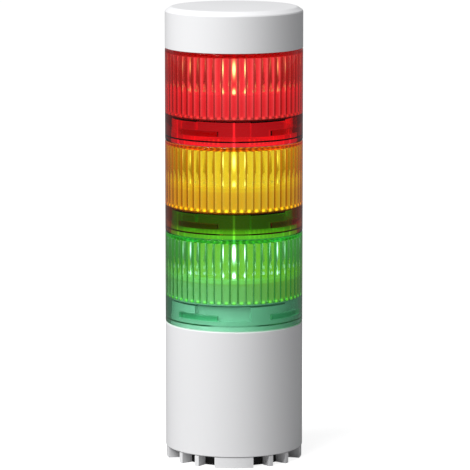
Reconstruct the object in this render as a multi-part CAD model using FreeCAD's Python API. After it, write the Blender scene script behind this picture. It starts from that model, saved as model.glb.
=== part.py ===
"""Three-colour modular stack light, 60 mm in diameter, for direct mounting on a machine panel.

A white body stands on a castellated base plate. Three light units, green, amber and red from the bottom,
and a white cap are stacked on it. Each joint is a bayonet: the lower piece has a neck with four L-shaped
tracks, and the upper piece has a plain skirt with four lugs inside it. Turning a piece anticlockwise by
the unlock angle brings its lugs under the open ends of the tracks, so that it lifts off.

Millimetres, +Z up. The origin is at the middle of the mounting face. Angles are in degrees from the
front (-Y), positive towards the right (+X), which is anticlockwise seen from above.
"""

import FreeCAD, Part
import math
import os

# ---- driving dimensions: the stack ---------------------------------------------------------------
outer_radius = 30.0            # body, lenses and cap are flush
body_height = 60.0             # mounting face to the body's shoulder
unit_pitch = 40.0              # one light unit, shoulder to shoulder
cap_height = 18.0              # red unit's shoulder to the top of the cap
unit_colours = ("green", "amber", "red")
joint_gap = 0.3                # a skirt stands this far above the shoulder below it
edge_round = 0.5               # on the shoulders

# ---- bayonet: heights are above the shoulder that the neck stands on -----------------------------
skirt_wall = 2.1
neck_gap = 0.7                 # radial, neck to skirt
neck_height = 10.2
neck_wall = 3.8
track_count = 4
track_depth = 2.0
track_floor = 4.2
track_height = 2.7
track_end = -56.0              # closed end of the first track
unlock_angle = 19.0            # length of a track's roofed arm, and the turn that frees a unit
entry_arc = 52.5               # width of a track's open part
lug_arc = 40.5
lug_end_play = 0.7             # degrees, lug to the closed end
lug_gap = 0.3                  # lug to track, above and below
lug_tip_gap = 0.4              # lug to the bottom of the track, radial
lead_in_height = 2.0           # wider mouth of a skirt, above the shoulder below
lead_in_depth = 0.6            # radial; a cone of the same height leads into the skirt

# ---- seal, contact disc and springs --------------------------------------------------------------
seal_thickness = 0.8
seal_edge = 0.4                # set back from the neck's outer face
flange_gap = 0.1               # carrier's flange above the seal
ledge_height = 4.0             # inside the neck, above the shoulder
ledge_width = 1.8
disc_thickness = 4.6
disc_gap = 0.2                 # radial, contact disc to neck bore
disc_socket_depth = 2.6        # takes the end of the board below
contact_count = 5
contact_first_radius = 6.5
contact_pitch = 3.0
contact_angle = 60.0           # where the contacts stand, from the front
pad_thickness = 0.12
pad_width = 2.0
pad_arc = 20.0
spring_strip = 0.25
spring_width = 1.6
spring_length = 8.0
spring_rise = 0.8              # upturned end of the strip
spring_gap = 0.1               # spring above its pad

# ---- lens ----------------------------------------------------------------------------------------
rib_count = 54
rib_height = 0.8               # crest above the skirt's inner face
shoulder_thickness = 2.0

# ---- inside a light unit -------------------------------------------------------------------------
flange_thickness = 0.7
flange_lap = 0.5               # how far the carrier's flange reaches under the ribs
carrier_gap = 1.6              # radial, carrier to the crests of the ribs
carrier_wall = 1.5
carrier_floor = 1.5
carrier_height = 9.3
stiffener_count = 6
stiffener_thickness = 1.2
stiffener_inner_radius = 9.0
board_thickness = 1.6
board_edge = 0.5               # LED board beyond the carrier's wall
led_count = 6
led_side = 3.0
led_base_height = 0.6
led_window_radius = 1.2
led_window_height = 0.4
inner_lens_radius = 19.4       # to the flats of its facets
inner_lens_wall = 1.2
inner_lens_facets = 24
inner_lens_gap = 0.1           # below the lens's roof
reflector_foot_radius = 10.5
reflector_wall = 1.0
reflector_edge_gap = 0.4       # radial, to the inner lens
reflector_drop = 0.6           # its top below the lens's roof
reflector_dish = 2.2           # how far its side is dished
reflector_bands = 4            # cones that make up the dished side
riser_width = 10.0
slot_play = 0.2                # around a board in its slot
riser_foot_gap = 0.3
riser_head_gap = 0.4           # in the contact disc's socket

# ---- cap -----------------------------------------------------------------------------------------
cap_wall = 2.1
cap_bevel_width = 2.6          # sloping rim between the side and the top
cap_bevel_height = 1.7
cap_edge_chamfer = 0.35        # on both edges of the bevel
cap_roof = 2.6
cap_flange_thickness = 1.4
cap_rib_thickness = 1.6
cap_rib_count = 3
cap_rib_foot = 0.8             # above the cap's inner flange

# ---- body ----------------------------------------------------------------------------------------
body_wall = 2.5
body_roof = 2.5
foot_height = 4.7
shell_gap = 0.2                # shell's lower edge above the feet
shell_chamfer = 0.3
foot_setback = 0.3             # feet and fins behind the shell's face
foot_depth = 5.3
foot_arc = 33.0
foot_count = 4
fin_angles = (33.0, 51.0)      # from the front and from the back, both ways
fin_thickness = 2.0
plate_thickness = 2.5
plate_gap = 0.2                # radial, base plate to shell
gasket_gap = 0.2               # radial, gasket to feet
gasket_hole_radius = 10.5
gasket_screw_radius = 2.6

insert_count = 3
insert_edge = 6.3              # centre of an insert to the plate's edge
insert_outer_radius = 2.9
insert_bore_radius = 1.65      # M4 core
insert_length = 7.0
insert_fit = 0.05
insert_boss_wall = 1.6
insert_boss_roof = 1.2

case_screw_count = 3
case_screw_first_angle = 60.0
case_screw_edge = 5.3          # centre of a screw to the plate's edge
case_screw_radius = 1.25
case_screw_length = 11.0
case_screw_fit = 0.05
case_screw_play = 0.15         # in the plate's hole
case_screw_head_radius = 2.8
case_screw_head_height = 1.1
case_screw_recess = 0.2        # head above the plate's lower face
case_screw_tip_gap = 1.0
case_boss_wall = 2.1
case_boss_roof = 1.5
case_boss_gap = 0.2            # boss above the plate
cross_width = 0.6
cross_length = 3.0
cross_depth = 0.6

grommet_hole_radius = 8.0
grommet_fit = 0.1
grommet_bore_radius = 4.0
grommet_flange = 1.8
grommet_flange_thickness = 1.2

control_board_width = 45.0
control_board_foot_gap = 0.5   # above the screw bosses
control_board_head_gap = 2.0   # below the body's roof
rail_thickness = 1.5
rail_bite = 1.2                # board edge held in the rails
board_seat = 0.05              # parts stand this far off their board
terminal_ways = 6
terminal_pitch = 5.0
terminal_depth = 10.0
terminal_height = 12.0
terminal_rise = 2.0            # block above the board's lower edge
terminal_hole_radius = 1.6
terminal_hole_depth = 6.0
terminal_screw_rise = 9.0      # screws above the block's foot
terminal_screw_radius = 1.6
terminal_screw_fit = 0.1
terminal_screw_recess = 3.0
terminal_screw_length = 2.0
terminal_slot_width = 0.6
terminal_slot_depth = 0.7
capacitor_radius = 4.0
capacitor_length = 10.0
capacitor_spacing = 20.0
capacitor_rise = 17.0          # centre above the board's lower edge
chip_width = 8.0
chip_height = 5.0
chip_depth = 1.8
chip_spacing = 12.0
chip_drop = 5.0                # below the board's shoulder

# ---- worked out from the above -------------------------------------------------------------------
skirt_radius = outer_radius - skirt_wall
neck_radius = skirt_radius - neck_gap
bore_radius = neck_radius - neck_wall
track_radius = neck_radius - track_depth
track_open = track_end + unlock_angle
flange_floor = neck_height + seal_thickness + flange_gap
rib_foot = flange_floor + flange_thickness
rib_crest_radius = skirt_radius - rib_height
disc_top = ledge_height + disc_thickness
board_head = ledge_height + disc_socket_depth - riser_head_gap
unit_ceiling = unit_pitch - shoulder_thickness
board_floor = flange_floor + carrier_height
board_top = board_floor + board_thickness
carrier_radius = rib_crest_radius - carrier_gap
led_circle_radius = (reflector_foot_radius + inner_lens_radius - inner_lens_wall) / 2

shell_foot = foot_height + shell_gap
shell_bore = outer_radius - body_wall
foot_inner_radius = outer_radius - foot_setback - foot_depth
plate_radius = shell_bore - plate_gap
plate_top = foot_height + plate_thickness
insert_circle_radius = plate_radius - insert_edge
case_screw_circle_radius = plate_radius - case_screw_edge
case_screw_seat = foot_height + case_screw_recess + case_screw_head_height
case_hole_top = case_screw_seat + case_screw_length + case_screw_tip_gap
case_boss_top = case_hole_top + case_boss_roof
control_board_foot = case_boss_top + control_board_foot_gap
control_board_shoulder = body_height - body_roof - control_board_head_gap

origin = FreeCAD.Vector(0, 0, 0)
up = FreeCAD.Vector(0, 0, 1)
back = FreeCAD.Vector(0, 1, 0)


# ---- drawing helpers -----------------------------------------------------------------------------
def compass(radius, angle, z=0.0):
    """Point at a radius and at an angle from the front."""
    turn = math.radians(angle)
    return FreeCAD.Vector(radius * math.sin(turn), -radius * math.cos(turn), z)


def turned(shape, angle):
    """Copy of a shape turned about the axis."""
    copy = shape.copy()
    copy.rotate(origin, up, angle)
    return copy


def around(shape, count, first=0.0):
    """Copies of a shape spaced evenly about the axis."""
    return [turned(shape, first + 360.0 * i / count) for i in range(count)]


def disc(radius, z0, z1, centre=origin):
    """Upright cylinder, or a round hole's tool."""
    return Part.makeCylinder(radius, z1 - z0, FreeCAD.Vector(centre.x, centre.y, z0))


def ring(inner, outer, z0, z1):
    return disc(outer, z0, z1).cut(disc(inner, z0, z1))


def box(x0, x1, y0, y1, z0, z1):
    return Part.makeBox(x1 - x0, y1 - y0, z1 - z0, FreeCAD.Vector(x0, y0, z0))


def sector(inner, outer, z0, z1, angle0, angle1):
    """Part of a ring between two angles from the front."""
    corners = [compass(r, angle0, z) for r, z in ((inner, z0), (outer, z0), (outer, z1), (inner, z1))]
    face = Part.Face(Part.makePolygon(corners + corners[:1]))
    return face.revolve(origin, up, angle1 - angle0)


def polygon(points):
    """Flat face through a closed run of points."""
    return Part.Face(Part.makePolygon(points + points[:1]))


def spot(radius, z):
    """Point of a profile that is turned about the axis."""
    return FreeCAD.Vector(radius, 0, z)


def arc(start, middle, end):
    return Part.Arc(start, middle, end).toShape()


def fused(shapes):
    return shapes[0].multiFuse(shapes[1:]).removeSplitter()


def without(shape, tools):
    return shape.cut(Part.makeCompound(tools))


def round_edges(solid, radius, z):
    """Edges that run round a solid at one radius and height."""
    return [
        e for e in solid.Edges
        if abs(e.BoundBox.ZMin - z) < 1e-3 and abs(e.BoundBox.ZMax - z) < 1e-3
        and abs(e.BoundBox.XMax - radius) < 1e-3
    ]


def board_slot(z0, z1):
    """Tool for the slot that an upright board of riser width passes through."""
    half_width = riser_width / 2 + slot_play
    half_thickness = board_thickness / 2 + slot_play
    return box(-half_width, half_width, -half_thickness, half_thickness, z0, z1)


# ---- the bayonet joint, shared by the body, the lenses and the cap -------------------------------
def neck(shoulder):
    """Tube on a shoulder, with L-shaped tracks in its outer face and a ledge inside it."""
    top = shoulder + neck_height
    floor = shoulder + track_floor
    roof = floor + track_height
    arm = sector(track_radius, skirt_radius, floor, roof, track_end, track_open + lug_end_play)
    entry = sector(track_radius, skirt_radius, floor, top, track_open, track_open + entry_arc)
    tube = without(disc(neck_radius, shoulder, top), around(arm.fuse(entry), track_count))
    ledge = shoulder + ledge_height
    hollow = disc(bore_radius, ledge, top)
    return without(tube, [disc(bore_radius - ledge_width, shoulder, ledge), hollow])


def skirt_bore(shoulder, top):
    """Tool for the inside of a skirt, with a wider mouth that leads it over the neck."""
    foot = shoulder + joint_gap
    mouth_radius = skirt_radius + lead_in_depth
    mouth_top = shoulder + lead_in_height
    cone = Part.makeCone(mouth_radius, skirt_radius, lead_in_depth, spot(0, mouth_top))
    return fused([disc(skirt_radius, foot, top), disc(mouth_radius, foot, mouth_top), cone])


def lugs(shoulder):
    """Lugs that stand inward from a skirt, at their locked place."""
    z0 = shoulder + track_floor + lug_gap
    z1 = shoulder + track_floor + track_height - lug_gap
    start = track_end + lug_end_play
    root = skirt_radius + skirt_wall / 2
    lug = sector(track_radius + lug_tip_gap, root, z0, z1, start, start + lug_arc)
    return around(lug, track_count)


def seal(shoulder):
    """Flat rubber ring on top of a neck, notched where the tracks come out."""
    z0 = shoulder + neck_height
    z1 = z0 + seal_thickness
    notch = sector(track_radius - seal_edge, neck_radius, z0, z1, track_open, track_open + entry_arc)
    return without(ring(bore_radius, neck_radius - seal_edge, z0, z1), around(notch, track_count))


def contact_disc(shoulder):
    """Black moulding on a neck's ledge: it carries the contact pads and takes the end of the board below."""
    ledge = shoulder + ledge_height
    plate = disc(bore_radius - disc_gap, ledge, shoulder + disc_top)
    return plate.cut(board_slot(ledge, ledge + disc_socket_depth))


def contact_circles():
    """The radius of each contact line."""
    return [contact_first_radius + i * contact_pitch for i in range(contact_count)]


def contact_pads(shoulder):
    """Copper arcs on a contact disc, one for each line."""
    z0 = shoulder + disc_top
    start = contact_angle - pad_arc / 2
    return Part.makeCompound([
        sector(r - pad_width / 2, r + pad_width / 2, z0, z0 + pad_thickness, start, start + pad_arc)
        for r in contact_circles()
    ])


# ---- light unit ----------------------------------------------------------------------------------
def ribbed_hollow(z0, z1):
    """Inside of a lens: a round hollow whose wall is a row of rounded upright ribs."""
    step = 360.0 / rib_count
    ribs = []
    for i in range(rib_count):
        left = compass(skirt_radius, (i - 0.5) * step, z0)
        crest = compass(rib_crest_radius, i * step, z0)
        right = compass(skirt_radius, (i + 0.5) * step, z0)
        ribs.append(arc(left, crest, right))
    return Part.Face(Part.Wire(ribs)).extrude(up * (z1 - z0))


def lens(base):
    """Coloured clear moulding: skirt with lugs, ribbed window, shoulder and neck."""
    shoulder = base + unit_pitch
    foot = base + joint_gap
    ceiling = base + unit_ceiling
    tube = disc(outer_radius, foot, shoulder)
    tube = tube.makeFillet(edge_round, round_edges(tube, outer_radius, shoulder))
    tube = without(tube, [skirt_bore(base, base + rib_foot), ribbed_hollow(base + rib_foot, ceiling)])
    tube = tube.cut(disc(bore_radius - ledge_width, ceiling, shoulder))
    return fused([tube, neck(shoulder)] + lugs(base))


def carrier(base):
    """White tray that closes the lens from below and holds the LED board."""
    floor = base + flange_floor
    top = base + board_floor
    flange = disc(rib_crest_radius + flange_lap, floor, base + rib_foot)
    tub = disc(carrier_radius, floor, top)
    hollow = disc(carrier_radius - carrier_wall, floor + carrier_floor, top)
    half = stiffener_thickness / 2
    stiffener = box(stiffener_inner_radius, carrier_radius - carrier_wall / 2, -half, half, floor, top)
    stiffeners = around(stiffener, stiffener_count, 180.0 / stiffener_count)
    return fused([flange, tub.cut(hollow)] + stiffeners).cut(board_slot(floor, floor + carrier_floor))


def led_board(base):
    """Round circuit board on the carrier, with a slot for the riser."""
    z0 = base + board_floor
    z1 = base + board_top
    return disc(carrier_radius + board_edge, z0, z1).cut(board_slot(z0, z1))


def leds(base):
    """Ring of square LED packages, each with a low round window."""
    z0 = base + board_top
    z1 = z0 + led_base_height
    half = led_side / 2
    package = box(-half, half, -led_circle_radius - half, -led_circle_radius + half, z0, z1)
    window = disc(led_window_radius, z1, z1 + led_window_height, compass(led_circle_radius, 0))
    return Part.makeCompound(around(package.fuse(window), led_count))


def inner_lens(base):
    """Clear tube around the LEDs, with flat facets outside that multiply their image."""
    z0 = base + board_top
    z1 = base + unit_ceiling - inner_lens_gap
    step = 360.0 / inner_lens_facets
    corner_radius = inner_lens_radius / math.cos(math.radians(step / 2))
    corners = [compass(corner_radius, (i + 0.5) * step, z0) for i in range(inner_lens_facets)]
    return polygon(corners).extrude(up * (z1 - z0)).cut(disc(inner_lens_radius - inner_lens_wall, z0, z1))


def reflector(base):
    """White dished cone inside the ring of LEDs, which throws their light outward."""
    z0 = base + board_top
    height = unit_ceiling - reflector_drop - board_top
    spread = inner_lens_radius - inner_lens_wall - reflector_edge_gap - reflector_foot_radius
    side = []
    for i in range(reflector_bands + 1):
        t = i / reflector_bands
        radius = reflector_foot_radius + spread * t - 4 * reflector_dish * t * (1 - t)
        side.append(spot(radius, z0 + height * t))
    inside = [point - spot(reflector_wall, 0) for point in side[::-1]]
    return polygon(side + inside).revolve(origin, up, 360)


def riser_board(base):
    """Upright board that takes the lines from the springs below to the contact disc above."""
    half = riser_width / 2
    z0 = base + flange_floor + riser_foot_gap
    z1 = base + unit_pitch + board_head
    return box(-half, half, -board_thickness / 2, board_thickness / 2, z0, z1)


def contact_springs(base):
    """Bent strips under the carrier, one for each line, which press on the pads below."""
    root = base + flange_floor - spring_strip
    tip = base + disc_top + pad_thickness + spring_gap
    half = spring_length / 2
    bends = [(-half, root), (-half / 2, root), (0, tip), (half / 2, tip), (half, tip + spring_rise)]
    strips = []
    for radius in contact_circles():
        lower = [FreeCAD.Vector(x, spring_width / 2 - radius, z) for x, z in bends]
        upper = [point + up * spring_strip for point in lower]
        strip = polygon(lower + upper[::-1]).extrude(-back * spring_width)
        strips.append(turned(strip, contact_angle))
    return Part.makeCompound(strips)


# ---- cap -----------------------------------------------------------------------------------------
def cap_block(foot, top):
    """The solid cap: a straight side, a sloping rim and a flat top."""
    reach = outer_radius - cap_bevel_width
    side_top = top - cap_bevel_height
    rim = Part.makeCone(outer_radius, reach, cap_bevel_height, spot(0, side_top))
    block = fused([disc(outer_radius, foot, side_top), rim])
    edges = round_edges(block, outer_radius, side_top) + round_edges(block, reach, top)
    return block.makeChamfer(cap_edge_chamfer, edges)


def top_cap(base):
    """White cup with a bevelled top; inside are the lugs and a flange that presses on the seal."""
    top = base + cap_height
    foot = base + joint_gap
    flange_foot = base + flange_floor
    flange_top = flange_foot + cap_flange_thickness
    roof = top - cap_roof
    inner_radius = outer_radius - cap_wall
    shape = without(cap_block(foot, top), [
        skirt_bore(base, flange_foot),
        disc(bore_radius, flange_foot, flange_top),
        disc(inner_radius, flange_top, roof),
    ])
    half = cap_rib_thickness / 2
    rib = box(0, inner_radius + cap_wall / 2, -half, half, flange_top + cap_rib_foot, roof + cap_roof / 2)
    return fused([shape] + around(rib, cap_rib_count) + lugs(base))


# ---- body ----------------------------------------------------------------------------------------
def case_screw_places():
    """Angle of the first case screw for shapes that are drawn towards +X."""
    return case_screw_first_angle - 90.0


def body_shell():
    """White tube with a roof, the neck for the lowest unit, screw posts and rails for the board."""
    roof = body_height - body_roof
    shape = disc(outer_radius, shell_foot, body_height)
    shape = shape.makeFillet(edge_round, round_edges(shape, outer_radius, body_height))
    shape = shape.makeChamfer(shell_chamfer, round_edges(shape, outer_radius, shell_foot))
    roof_hole = disc(bore_radius - ledge_width, roof, body_height)
    shape = without(shape, [disc(shell_bore, shell_foot, roof), roof_hole])

    boss_foot = plate_top + case_boss_gap
    centre = FreeCAD.Vector(case_screw_circle_radius, 0, 0)
    hole_radius = case_screw_radius + case_screw_fit
    post = disc(hole_radius + case_boss_wall, boss_foot, case_boss_top, centre)
    web = box(case_screw_circle_radius, shell_bore + body_wall / 2, -case_boss_wall, case_boss_wall,
              boss_foot, case_boss_top)
    posts = around(post.fuse(web), case_screw_count, case_screw_places())
    hole = disc(hole_radius, boss_foot, case_hole_top, centre)
    holes = around(hole, case_screw_count, case_screw_places())

    rail_front = board_thickness / 2 + slot_play
    rail = box(control_board_width / 2 - rail_bite, shell_bore + body_wall / 2,
               rail_front, rail_front + rail_thickness, control_board_foot, roof + body_roof / 2)
    rails = around(rail.fuse(rail.mirror(origin, back)), 2)
    return without(fused([shape, neck(body_height)] + posts + rails), holes)


def base_plate():
    """White plate that closes the body, with wide feet and thin fins that leave drain slots."""
    face_radius = outer_radius - foot_setback
    plate = disc(plate_radius, foot_height, plate_top)
    foot = sector(foot_inner_radius, face_radius, 0, foot_height, -foot_arc / 2, foot_arc / 2)
    half = fin_thickness / 2
    fin = box(-half, half, -outer_radius, -foot_inner_radius, 0, foot_height).common(
        disc(face_radius, 0, foot_height))
    fins = [turned(fin, middle + side * a) for middle in (0, 180) for side in (-1, 1) for a in fin_angles]
    insert_centre = compass(insert_circle_radius, 0)
    pocket_radius = insert_outer_radius + insert_fit
    pocket_top = foot_height + insert_length
    boss_radius = pocket_radius + insert_boss_wall
    boss = disc(boss_radius, foot_height, pocket_top + insert_boss_roof, insert_centre)
    pocket = disc(pocket_radius, foot_height, pocket_top, insert_centre)
    screw_centre = compass(case_screw_circle_radius, 0)
    hole = disc(case_screw_radius + case_screw_play, foot_height, plate_top, screw_centre)
    sink = disc(case_screw_head_radius + case_screw_play, foot_height, case_screw_seat, screw_centre)
    shape = fused([plate] + around(foot, foot_count) + fins + around(boss, insert_count))
    shape = without(shape, around(pocket, insert_count))
    shape = without(shape, around(hole.fuse(sink), case_screw_count, case_screw_first_angle))
    return shape.cut(disc(grommet_hole_radius, foot_height, plate_top))


def mounting_gasket():
    """Black pad between the base plate and the panel, with the cable hole and the screw holes."""
    pad = ring(gasket_hole_radius, foot_inner_radius - gasket_gap, 0, foot_height)
    hole = disc(gasket_screw_radius, 0, foot_height, compass(insert_circle_radius, 0))
    return without(pad, around(hole, insert_count))


def panel_inserts():
    """Brass inserts that take the screws coming up through the panel."""
    centre = compass(insert_circle_radius, 0)
    top = foot_height + insert_length
    sleeve = disc(insert_outer_radius, foot_height, top, centre).cut(
        disc(insert_bore_radius, foot_height, top, centre))
    return Part.makeCompound(around(sleeve, insert_count))


def case_screws():
    """Cross-head screws that hold the base plate in the shell."""
    centre = compass(case_screw_circle_radius, 0)
    head_foot = case_screw_seat - case_screw_head_height
    head = disc(case_screw_head_radius, head_foot, case_screw_seat, centre)
    shank = disc(case_screw_radius, case_screw_seat, case_screw_seat + case_screw_length, centre)
    a = cross_length / 2
    b = cross_width / 2
    z1 = head_foot + cross_depth
    bar = box(-a, a, centre.y - b, centre.y + b, head_foot, z1)
    post = box(-b, b, centre.y - a, centre.y + a, head_foot, z1)
    screw = fused([head, shank]).cut(bar.fuse(post))
    return Part.makeCompound(around(screw, case_screw_count, case_screw_first_angle))


def cable_grommet():
    """Rubber grommet in the plate's cable hole, with a flange on each side of the plate."""
    waist = grommet_hole_radius - grommet_fit
    flange = grommet_hole_radius + grommet_flange
    z0 = foot_height - grommet_flange_thickness
    z3 = plate_top + grommet_flange_thickness
    flanges = [disc(flange, z0, foot_height), disc(flange, plate_top, z3)]
    return fused(flanges + [disc(waist, foot_height, plate_top)]).cut(disc(grommet_bore_radius, z0, z3))


# ---- electronics in the body ---------------------------------------------------------------------
def control_board():
    """Upright board in the body's rails, with a tongue that reaches into the contact disc."""
    half = control_board_width / 2
    tongue = riser_width / 2
    head = body_height + board_head
    side = [(half, control_board_foot), (half, control_board_shoulder), (tongue, control_board_shoulder),
            (tongue, head)]
    corners = side + [(-x, z) for x, z in side[::-1]]
    outline = polygon([FreeCAD.Vector(x, -board_thickness / 2, z) for x, z in corners])
    return outline.extrude(back * board_thickness)


def terminal_places():
    """The x place of each terminal."""
    return [(i - (terminal_ways - 1) / 2) * terminal_pitch for i in range(terminal_ways)]


def terminal_front():
    """The y place of the terminal block's front."""
    return -board_thickness / 2 - board_seat - terminal_depth


def terminal_block():
    """Screw terminals for the supply wires, which enter from below; the screws face forward."""
    half = terminal_ways * terminal_pitch / 2
    z0 = control_board_foot + terminal_rise
    front = terminal_front()
    block = box(-half, half, front, front + terminal_depth, z0, z0 + terminal_height)
    middle = front + terminal_depth / 2
    wire_holes = [
        disc(terminal_hole_radius, z0, z0 + terminal_hole_depth, FreeCAD.Vector(x, middle, 0))
        for x in terminal_places()
    ]
    screw_hole_radius = terminal_screw_radius + terminal_screw_fit
    screw_hole_depth = terminal_screw_recess + terminal_screw_length
    screw_z = z0 + terminal_screw_rise
    screw_holes = [
        Part.makeCylinder(screw_hole_radius, screw_hole_depth, FreeCAD.Vector(x, front, screw_z), back)
        for x in terminal_places()
    ]
    return without(block, wire_holes + screw_holes)


def terminal_screws():
    """Slotted screws in the terminal block."""
    z = control_board_foot + terminal_rise + terminal_screw_rise
    y = terminal_front() + terminal_screw_recess
    half = terminal_slot_width / 2
    radius = terminal_screw_radius
    screws = []
    for x in terminal_places():
        screw = Part.makeCylinder(radius, terminal_screw_length, FreeCAD.Vector(x, y, z), back)
        slot = box(x - radius, x + radius, y, y + terminal_slot_depth, z - half, z + half)
        screws.append(screw.cut(slot))
    return Part.makeCompound(screws)


def capacitors():
    """Two electrolytic capacitors on the back of the control board."""
    y = board_thickness / 2 + board_seat
    z = control_board_foot + capacitor_rise
    return Part.makeCompound([
        Part.makeCylinder(capacitor_radius, capacitor_length, FreeCAD.Vector(x, y, z), back)
        for x in (-capacitor_spacing / 2, capacitor_spacing / 2)
    ])


def driver_chips():
    """One driver chip for each light unit, in a row on the front of the control board."""
    y1 = -board_thickness / 2 - board_seat
    z1 = control_board_shoulder - chip_drop
    half = chip_width / 2
    places = [(i - (len(unit_colours) - 1) / 2) * chip_spacing for i in range(len(unit_colours))]
    chips = [box(x - half, x + half, y1 - chip_depth, y1, z1 - chip_height, z1) for x in places]
    return Part.makeCompound(chips)


# ---- build and write -----------------------------------------------------------------------------
def light_unit(colour, base):
    """The pieces of one light unit, by name."""
    shoulder = base + unit_pitch
    return {
        colour + "_lens": lens(base),
        colour + "_carrier": carrier(base),
        colour + "_led_board": led_board(base),
        colour + "_leds": leds(base),
        colour + "_inner_lens": inner_lens(base),
        colour + "_reflector": reflector(base),
        colour + "_riser_board": riser_board(base),
        colour + "_contact_springs": contact_springs(base),
        colour + "_contact_disc": contact_disc(shoulder),
        colour + "_contact_pads": contact_pads(shoulder),
        colour + "_seal": seal(shoulder),
    }


def all_parts():
    parts = {
        "body_shell": body_shell(),
        "base_plate": base_plate(),
        "mounting_gasket": mounting_gasket(),
        "panel_inserts": panel_inserts(),
        "case_screws": case_screws(),
        "cable_grommet": cable_grommet(),
        "control_board": control_board(),
        "terminal_block": terminal_block(),
        "terminal_screws": terminal_screws(),
        "capacitors": capacitors(),
        "driver_chips": driver_chips(),
        "body_contact_disc": contact_disc(body_height),
        "body_contact_pads": contact_pads(body_height),
        "body_seal": seal(body_height),
    }
    base = body_height
    for colour in unit_colours:
        parts.update(light_unit(colour, base))
        base += unit_pitch
    parts["top_cap"] = top_cap(base)
    return parts


os.makedirs("parts", exist_ok=True)
for name, shape in all_parts().items():
    print(f"{name:24s} solids {len(shape.Solids):2d}  volume {shape.Volume:9.2f}  valid {shape.isValid()}")
    shape.exportStep(os.path.join("parts", name + ".step"))
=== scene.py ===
"""Finishes, clear lenses, lit interior and studio of a three-colour stack light, as a Blender add-on.

Metres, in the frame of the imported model: +Z up, the mounting face at the origin, -Y towards the front.
Angles are in degrees from the front, positive towards the right, unless a property says otherwise.
"""

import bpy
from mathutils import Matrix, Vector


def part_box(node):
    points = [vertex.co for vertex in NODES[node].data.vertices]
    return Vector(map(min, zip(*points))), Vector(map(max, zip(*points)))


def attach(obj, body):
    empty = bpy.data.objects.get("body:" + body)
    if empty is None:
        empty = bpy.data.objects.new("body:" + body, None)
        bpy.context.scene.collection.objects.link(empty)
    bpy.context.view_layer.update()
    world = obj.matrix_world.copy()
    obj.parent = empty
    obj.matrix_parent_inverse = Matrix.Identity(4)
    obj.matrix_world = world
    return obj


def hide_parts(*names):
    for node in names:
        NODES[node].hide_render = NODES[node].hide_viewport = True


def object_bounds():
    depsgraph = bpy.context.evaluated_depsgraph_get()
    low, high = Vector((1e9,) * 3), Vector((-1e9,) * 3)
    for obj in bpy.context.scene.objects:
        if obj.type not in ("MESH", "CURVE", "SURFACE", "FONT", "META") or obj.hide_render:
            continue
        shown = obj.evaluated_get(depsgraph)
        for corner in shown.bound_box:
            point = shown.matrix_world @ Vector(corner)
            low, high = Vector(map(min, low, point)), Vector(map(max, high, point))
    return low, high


bl_info = {
    "name": "Stack light",
    "version": (1, 0, 0),
    "blender": (4, 5, 0),
    "location": "3D View > Sidebar > Stack light",
    "description": "Dresses the packed stack light: lenses, lit interior, plastics, contacts and studio",
    "category": "Object",
}

import math

import bmesh
import bpy
from bpy.props import FloatProperty, FloatVectorProperty, IntProperty, PointerProperty
from mathutils import Vector

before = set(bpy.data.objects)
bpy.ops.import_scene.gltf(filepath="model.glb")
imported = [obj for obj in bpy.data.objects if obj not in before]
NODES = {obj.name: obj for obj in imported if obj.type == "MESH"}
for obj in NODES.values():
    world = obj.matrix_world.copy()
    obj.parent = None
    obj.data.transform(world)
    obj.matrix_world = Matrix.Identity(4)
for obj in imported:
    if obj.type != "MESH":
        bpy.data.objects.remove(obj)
CAD_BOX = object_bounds()
UNITS = ("green", "amber", "red")


def length(name, description, default):
    """Property for a length in metres."""
    return FloatProperty(name=name, description=description, default=default, min=0.0, unit="LENGTH",
                         precision=5)


def colour(name, description, default):
    """Property for a linear colour."""
    return FloatVectorProperty(name=name, description=description, default=default, size=3, subtype="COLOR",
                               min=0.0, max=1.0)


def amount(name, description, default, top=1.0):
    """Property for a plain number from zero up."""
    return FloatProperty(name=name, description=description, default=default, min=0.0, max=top)


def degrees(name, description, default):
    """Property for an angle, kept in degrees."""
    return FloatProperty(name=name, description=description, default=default)


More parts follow.
